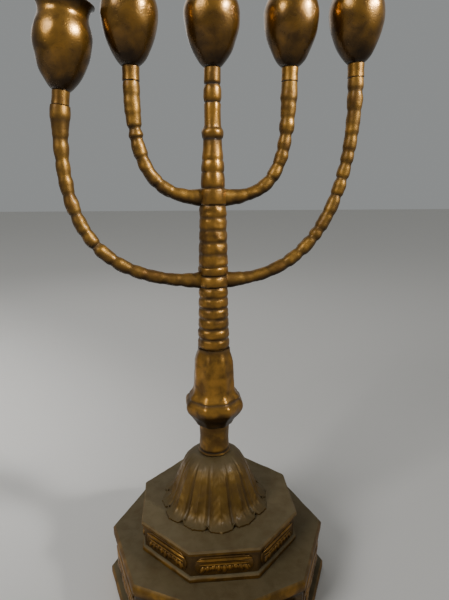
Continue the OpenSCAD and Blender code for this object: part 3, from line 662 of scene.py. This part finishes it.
class MENORAH_OT_column(bpy.types.Operator):
    """Ribbed column pieces, hubs and the tapered upper column"""
    bl_idname = "menorah.column"
    bl_label = "Column"

    # Radius and height of the upper column, in millimetres, with recess; 3.2 is the bore
    UPPER = [(3.2, 0, 0.5), (7.7, 0, 0.6), (8.1, 1.4, 0.15), (8.2, 3, 0), (8.05, 6, 0),
             (7.6, 9.2, 0.1), (7.25, 10.1, 0.35), (7.6, 11.3, 0.05), (7.65, 14, 0), (7.4, 16, 0.05),
             (7.1, 17.2, 0.2), (6.8, 17.9, 0.35), (7.05, 19, 0.05), (6.9, 21, 0), (6.4, 25, 0),
             (6.2, 29.6, 0.4), (6.1, 31, 0.9), (6.7, 31.9, 0.2), (7.1, 33.4, 0), (7.2, 35.2, 0),
             (6.9, 36.5, 0.1), (6.3, 37.4, 0.3), (5.7, 38.4, 0.3), (5.5, 40, 0), (5.45, 44, 0),
             (5.4, 49, 0), (5.6, 52, 0.2), (5.2, 53.1, 0.6), (3.2, 53.1, 0.5)]

    def execute(self, context):
        size = context.scene.menorah_column
        foot, middle, top = 11.4 * MM, 10.2 * MM, 9.1 * MM
        self.barrel("lower_column_cast", "lower_column", foot, middle, size.lower_ribs,
                    size.groove_depth, 5.0)
        self.barrel("middle_column_cast", "middle_column", middle, top, size.middle_ribs,
                    size.middle_depth, 9.0)
        self.hub("outer_hub_cast", "outer_branch_hub", 10.4 * MM, 8.1 * MM)
        self.hub("inner_hub_cast", "inner_branch_hub", 9.2 * MM, None)
        bm = bmesh.new()
        ring_lathe(bm, [(r * MM, z * MM, k) for r, z, k in self.UPPER], 48)
        self.complete(bm, "upper_column_cast", "upper_column", 4.0)
        return {'FINISHED'}

    def complete(self, bm, name, node, seed):
        close_up(bm)
        roughen(bm, 0.35 * MM, 3.5 * MM, seed)
        bmesh.ops.translate(bm, verts=bm.verts, vec=(0, 0, span(node)[0]))
        finish_piece(bm, name, [node], "dark_brass", finish("gilt_cast_brass"))

    def barrel(self, name, node, foot_r, top_r, ribs, depth, seed):
        low, high = span(node)
        rows = ribs * 12
        profile = [(ROD_BORE_R, 0, 0.5)]
        for i in range(rows + 1):
            t = i / rows
            groove = abs(math.cos(math.pi * t * ribs)) ** 6
            band = t * ribs - math.floor(t * ribs)
            swell = 0.35 * depth * noise.noise(Vector((math.floor(t * ribs) * 0.7, seed, 0)))
            lean = 0.3 * depth * (0.5 - band)       # each band is fuller at its lower edge
            r = foot_r + (top_r - foot_r) * t - depth * groove + (swell + lean) * (1 - groove)
            profile.append((r, (high - low) * t, 0.5 * groove ** 1.6))
        profile.append((ROD_BORE_R, high - low, 0.5))
        bm = bmesh.new()
        ring_lathe(bm, profile, 56)
        self.complete(bm, name, node, seed)

    def hub(self, name, node, r, groove_z):
        low, high = span(node)
        h = high - low
        bead = 0.9 * MM
        profile = [(ROD_BORE_R, 0, 0.5), (r - 1.1 * MM, 0, 0.6), (r - 0.3 * MM, bead * 0.7, 0.2),
                   (r, bead * 1.8, 0)]
        if groove_z:
            profile += [(r, groove_z - 1.5 * MM, 0), (r - 0.5 * MM, groove_z - 0.6 * MM, 0.5),
                        (r - 1.1 * MM, groove_z, 0.6), (r - 0.5 * MM, groove_z + 0.6 * MM, 0.3),
                        (r, groove_z + 1.5 * MM, 0)]
        profile += [(r, h - bead * 1.8, 0), (r - 0.3 * MM, h - bead * 0.7, 0.3),
                    (r - 1.1 * MM, h, 0.6), (ROD_BORE_R, h, 0.5)]
        bm = bmesh.new()
        ring_lathe(bm, profile, 56)
        self.complete(bm, name, node, 6.0)


# Side, CAD node stem, hub, height of the branch's axis over the hub's foot, the curve's handles
# at the hub and at the tip as fractions of the reach and of the rise, and how much thicker the
# last 10 mm under the ferrule are cast
BRANCHES = [
    (-1, "outer_left", "outer_branch_hub", 4.5 * MM, 0.59, 0.80, 0.9 * MM),
    (1, "outer_right", "outer_branch_hub", 4.5 * MM, 0.77, 0.45, 0.0),
    (-1, "inner_left", "inner_branch_hub", 5.2 * MM, 0.69, 0.67, 0.0),
    (1, "inner_right", "inner_branch_hub", 5.2 * MM, 0.74, 0.69, 0.0),
]
FERRULE_H = 9 * MM
SOCKET_MIDDLE = 41.5 * MM   # a socket's mount over its cup's foot


def cup_foot(stem):
    """Foot point and axis of a candle cup, from its socket's mount."""
    mount = MOUNTS[stem + "_socket"]
    axis = Vector(mount["axis"])
    return Vector(mount["pos_m"]) - axis * SOCKET_MIDDLE, axis


def stand_on(point, axis):
    """Matrix that stands a piece made along +Z on a point, along an axis."""
    lean = Vector((0, 0, 1)).rotation_difference(axis)
    return Matrix.Translation(point) @ lean.to_matrix().to_4x4()


class MENORAH_OT_branches(bpy.types.Operator):
    """Curved branches with knots like a cane's joints, thickest under the ferrules"""
    bl_idname = "menorah.branches"
    bl_label = "Branches"

    def execute(self, context):
        for seed, (side, stem, hub, rise, root_pull, tip_pull, swell) in enumerate(BRANCHES):
            foot, axis = cup_foot(stem)
            tip = foot - axis * FERRULE_H
            axis_z = span(hub)[0] + rise
            root = Vector((side * (width(hub) / 2 - 2 * MM), 0, axis_z))
            handles = (root, root + Vector((side * root_pull * abs(tip.x), 0, 0)),
                       tip - axis * tip_pull * (tip.z - axis_z), tip)
            bm = bmesh.new()
            self.sweep(bm, handles, side, seed, swell)
            close_up(bm)
            roughen(bm, 0.3 * MM, 4 * MM, 10.0 + seed)
            finish_piece(bm, stem + "_branch_cast", [stem + "_branch"], "dark_brass",
                         finish("brown_cast_brass"))
        return {'FINISHED'}

    def sweep(self, bm, handles, side, seed, swell):
        size = bpy.context.scene.menorah_branches
        layer = recess_layer(bm)
        fine = 240
        path = [cubic(*handles, i / fine) for i in range(fine + 1)]
        along = [0.0]
        for a, b in zip(path, path[1:]):
            along.append(along[-1] + (b - a).length)
        whole = along[-1]
        ring = bmesh.ops.create_circle(bm, cap_ends=False, segments=24, radius=1.0)["verts"]
        edges = list(bm.edges)
        last = Matrix.Identity(4)
        for i in range(0, fine + 1, 2):
            heading = (path[min(i + 1, fine)] - path[max(i - 1, 0)]).normalized()
            if i == 0:
                heading = Vector((side, 0, 0))
            r, groove = self.radius(size, along[i], whole, seed, swell)
            # A web under the root makes the branch deeper than it is wide there
            web = 1 + 0.22 * max(0.0, 1 - along[i] / (16 * MM))
            frame_at = (Matrix.Translation(path[i])
                        @ Matrix((Vector((0, 1, 0)), heading.cross(Vector((0, 1, 0))), heading)
                                 ).transposed().to_4x4()
                        @ Matrix.Diagonal((r, r * web, 1, 1)))
            if i:
                made = bmesh.ops.extrude_edge_only(bm, edges=edges)["geom"]
                ring = [g for g in made if isinstance(g, bmesh.types.BMVert)]
                edges = [g for g in made if isinstance(g, bmesh.types.BMEdge)]
            bmesh.ops.transform(bm, matrix=frame_at @ last.inverted(), verts=ring)
            for v in ring:
                v[layer] = groove
            last = frame_at
        bmesh.ops.holes_fill(bm, edges=[e for e in bm.edges if e.is_boundary], sides=0)

    def knots(self, size, whole, seed):
        """Distances of the grooves along a branch, counted from its tip, unevenly spaced."""
        grooves, at, k = [], 0.0, 0
        while at < whole - 12 * MM:
            uneven = noise.noise(Vector((k * 1.37 + 0.5, seed * 4.3, 1.0)))
            at += size.knot_pitch * (1 + 0.75 * uneven)
            grooves.append((whole - at, 0.75 + 0.8 * noise.noise(Vector((k * 1.9, seed * 2.2, 5)))))
            k += 1
        return grooves

    def radius(self, size, s, whole, seed, swell):
        """Radius and recess at distance s along a branch."""
        from_tip = whole - s
        plain = (size.waist_d / 2 + (size.root_d - size.waist_d) / 2 * max(0.0, 1 - s / (20 * MM))
                 + (size.tip_d - size.waist_d) / 2 * min(1.0, max(0.0, 1.5 - from_tip / (22 * MM))))
        plain += swell * min(1.0, max(0.0, (12 * MM - from_tip) / (2.5 * MM)))
        fade = min(1.0, 0.15 + s / (70 * MM)) * min(1.0, from_tip / (3 * MM))
        cut = 0.0
        for at, depth in self.knots(size, whole, seed):
            # Steep on the side nearer the tip, long on the other, as in a cane's joint
            reach = 1.3 * MM if s > at else 2.6 * MM
            cut = max(cut, depth * math.exp(-((s - at) / reach) ** 2))
        lump = noise.noise(Vector((s / (5 * MM), seed * 3.1, 0)))
        r = plain + size.knot_rise * fade * (0.35 - 1.1 * cut + 0.45 * lump)
        return r, min(1.0, 0.5 * fade * cut ** 1.5)


class MENORAH_OT_ferrules(bpy.types.Operator):
    """Plain sleeves between the branches and the cups, and the centre's bead and sleeve"""
    bl_idname = "menorah.ferrules"
    bl_label = "Ferrules"

    def execute(self, context):
        r = 5.4 * MM
        for _, stem, *_ in BRANCHES:
            foot, axis = cup_foot(stem)
            bm = bmesh.new()
            ring_lathe(bm, [(1.6 * MM, 0, 0.6), (r - 0.5 * MM, 0, 1.0), (r, 0.5 * MM, 0.4),
                            (r, 1.3 * MM, 0), (r - 0.15 * MM, 4.5 * MM, 0), (r, 7.8 * MM, 0),
                            (r, 8.5 * MM, 0.4), (r - 0.5 * MM, FERRULE_H, 1.0),
                            (1.6 * MM, FERRULE_H, 0.6)],
                       40)
            self.complete(bm, stem + "_ferrule", stand_on(foot - axis * FERRULE_H, axis))
        high = span("centre_ferrule")[1]
        joint = span("upper_column")[1]
        h = (high - joint) / MM
        bm = bmesh.new()
        ring_lathe(bm, [(x * MM, z * MM, k) for x, z, k in (
            (1.6, 0, 0.6), (4.8, 0, 1.0), (5.4, 1.1, 0.2), (5.8, 3.2, 0), (5.8, 7.6, 0),
            (5.4, 9.9, 0.2), (4.8, 10.9, 1.0), (5.3, 11.8, 0.3), (5.4, 13, 0), (5.3, 17, 0),
            (5.4, h - 0.6, 0.3), (4.9, h, 1.0), (1.6, h, 0.6))], 40)
        self.complete(bm, "centre_ferrule", Matrix.Translation((0, 0, joint)))
        return {'FINISHED'}

    def complete(self, bm, node, matrix):
        close_up(bm)
        roughen(bm, 0.2 * MM, 3 * MM, 1.0)
        bmesh.ops.transform(bm, matrix=matrix, verts=bm.verts)
        finish_piece(bm, node + "_cast", [node], "gilt_brass", finish("gilt_cast_brass"))


class MENORAH_OT_cups(bpy.types.Operator):
    """Egg-shaped candle cups with narrow necks, flared lips and sooty insides"""
    bl_idname = "menorah.cups"
    bl_label = "Candle cups"

    FLOOR_Z = 5 * MM        # the inside's floor, over the foot

    def execute(self, context):
        for seed, stem in enumerate(("outer_left", "inner_left", "centre", "inner_right",
                                     "outer_right")):
            foot, axis = cup_foot(stem)
            bm = bmesh.new()
            self.turn(bm)
            close_up(bm)
            self.mark_inside(bm)
            roughen(bm, 0.45 * MM, 9 * MM, 20.0 + seed)
            bmesh.ops.transform(bm, matrix=stand_on(foot, axis), verts=bm.verts)
            finish_piece(bm, stem + "_cup_cast", [stem + "_cup"], "dark_brass",
                         finish("smooth_cup_brass"), finish("sooty_brass"))
        return {'FINISHED'}

    def turn(self, bm):
        c = bpy.context.scene.menorah_cups
        foot, belly = (5.4 * MM, 0.0), (c.belly_d / 2, c.belly_z)
        neck, lip = (c.neck_d / 2, c.neck_z), (c.lip_d / 2, c.height)
        socket = c.socket_d / 2
        wall = 2.2 * MM
        outside = ([foot]
                   + curve_points(foot, (foot[0] + 5 * MM, 3.5 * MM),
                                  (belly[0], belly[1] - 12 * MM), belly, 22)
                   + curve_points(belly, (belly[0], belly[1] + 7 * MM),
                                  (neck[0], neck[1] - 3.5 * MM), neck, 12)
                   + curve_points(neck, (neck[0], neck[1] + 3 * MM),
                                  (lip[0] - 1.6 * MM, lip[1] - 1.6 * MM),
                                  (lip[0], lip[1] - 0.5 * MM), 8))
        inside = [(lip[0] - 0.5 * MM, lip[1]), (lip[0] - 1.1 * MM, lip[1] - 0.2 * MM),
                  (socket + 1.2 * MM, c.height - 2.2 * MM), (socket, c.height - 3 * MM),
                  (socket, c.height - 12 * MM)]
        inside += curve_points((socket, c.height - 12 * MM), (socket + 1.5 * MM, c.height - 12 * MM),
                               (belly[0] - wall, belly[1] + 6 * MM), (belly[0] - wall, belly[1]), 8)
        inside += curve_points((belly[0] - wall, belly[1]), (belly[0] - wall, belly[1] - 11 * MM),
                               (8 * MM, 8 * MM), (4 * MM, self.FLOOR_Z), 12)
        profile = ([(1.7 * MM, 0, 0.6)] + [(r, z, max(0.0, 0.8 - z / (2 * MM))) for r, z in outside]
                   + [(r, z, 0.8) for r, z in inside] + [(1.7 * MM, self.FLOOR_Z, 0.9)])
        ring_lathe(bm, profile, 72)

    def mark_inside(self, bm):
        for face in bm.faces:
            middle = face.calc_center_median()
            if face.normal.to_2d().dot(middle.to_2d()) < 0 and middle.z > self.FLOOR_Z - 0.1 * MM:
                face.material_index = 1


class MENORAH_OT_fastenings(bpy.types.Operator):
    """Steel finish on the rod, plate, washer, nut and screws that hold the stack together"""
    bl_idname = "menorah.fastenings"
    bl_label = "Fastenings"

    def execute(self, context):
        for name in ("tie_rod", "clamp_plate", "tie_rod_washer", "tie_rod_nut", "cup_screws"):
            slots = frame["nodes"][name].material_slots
            for entry in slots:
                entry.material = finish("zinc_plated_steel")
            if not slots:
                raise RuntimeError(name + " has no material slot to take its finish")
        return {'FINISHED'}


class MENORAH_OT_stage(bpy.types.Operator):
    """Plain pale floor, soft studio light and the camera"""
    bl_idname = "menorah.stage"
    bl_label = "Stage"

    FLOOR_HALF = 6.0        # metres from the middle of the floor to its edge

    def execute(self, context):
        bm = bmesh.new()
        bmesh.ops.create_grid(bm, x_segments=1, y_segments=1, size=self.FLOOR_HALF)
        mesh = bpy.data.meshes.new("floor")
        bm.to_mesh(mesh)
        bm.free()
        # Matt off-white background paper
        material = bpy.data.materials.new("matt_paper_floor")
        material.use_nodes = True
        shader = material.node_tree.nodes["Principled BSDF"]
        shader.inputs["Base Color"].default_value = opaque(hex_to_linear("E2DFDA"))
        shader.inputs["Roughness"].default_value = 0.9
        mesh.materials.append(material)
        floor = bpy.data.objects.new("floor", mesh)
        context.scene.collection.objects.link(floor)

        world = bpy.data.worlds.new("studio")
        context.scene.world = world
        world.use_nodes = True
        world.node_tree.nodes["Background"].inputs[0].default_value = opaque(hex_to_linear("CDD0D0"))
        world.node_tree.nodes["Background"].inputs[1].default_value = 0.44
        # Name, place, aim height, size, watts and beam: a broad key from the left, a narrow beam
        # that glints on the cups, and a weak back light
        for name, place, aim, size, power, beam in (
                ("key", (-1.5, -1.15, 1.45), 0.25, 0.8, 25.0, 180),
                ("window", (1.0, -0.68, 0.95), 0.42, 0.2, 1.2, 26),
                ("back", (-0.3, 0.9, 0.9), 0.25, 0.8, 1.5, 180)):
            light = bpy.data.lights.new(name, 'AREA')
            light.shape = 'SQUARE'
            light.size = size
            light.energy = power
            light.spread = math.radians(beam)
            lamp = bpy.data.objects.new(name, light)
            lamp.location = place
            lamp.rotation_euler = (Vector((0, 0, aim)) - Vector(place)).to_track_quat(
                '-Z', 'Y').to_euler()
            context.scene.collection.objects.link(lamp)

        lens = bpy.data.cameras.new("camera")
        lens.lens = 27.9
        lens.sensor_width = 36.0
        camera = bpy.data.objects.new("camera", lens)
        camera.location = (-0.0335, -0.3182, 0.306)
        pitch = math.radians(13.66)
        forward = Vector((0.129 * math.cos(pitch), 0.992 * math.cos(pitch), -math.sin(pitch)))
        camera.rotation_euler = forward.to_track_quat('-Z', 'Y').to_euler()
        context.scene.collection.objects.link(camera)
        context.scene.camera = camera
        return {'FINISHED'}


class MENORAH_PT_panel(bpy.types.Panel):
    """Sidebar panel that lists the pieces"""
    bl_idname = "MENORAH_PT_panel"
    bl_label = "Menorah"
    bl_space_type = 'VIEW_3D'
    bl_region_type = 'UI'
    bl_category = "Menorah"

    def draw(self, context):
        for group in GROUPS:
            box = self.layout.box()
            settings = getattr(context.scene, group)
            for key in settings.__annotations__:
                box.prop(settings, key)
        for operator in OPERATORS:
            self.layout.operator(operator.bl_idname)


GROUPS = {"menorah_base": MenorahBase, "menorah_column": MenorahColumn,
          "menorah_branches": MenorahBranches, "menorah_cups": MenorahCups,
          "menorah_colours": MenorahColours}
OPERATORS = (MENORAH_OT_plinths, MENORAH_OT_relief_panels, MENORAH_OT_leaf_dome, MENORAH_OT_neck,
             MENORAH_OT_knop, MENORAH_OT_column, MENORAH_OT_branches, MENORAH_OT_ferrules,
             MENORAH_OT_cups, MENORAH_OT_fastenings, MENORAH_OT_stage)


def register():
    for name, group in GROUPS.items():
        bpy.utils.register_class(group)
        setattr(bpy.types.Scene, name, PointerProperty(type=group))
    for operator in OPERATORS:
        bpy.utils.register_class(operator)
    bpy.utils.register_class(MENORAH_PT_panel)


def unregister():
    bpy.utils.unregister_class(MENORAH_PT_panel)
    for operator in reversed(OPERATORS):
        bpy.utils.unregister_class(operator)
    for name, group in reversed(GROUPS.items()):
        delattr(bpy.types.Scene, name)
        bpy.utils.unregister_class(group)


def main():
    register()
    for operator in OPERATORS:
        getattr(bpy.ops.menorah, operator.bl_idname.split(".")[1])()


if __name__ == "__main__":
    main()
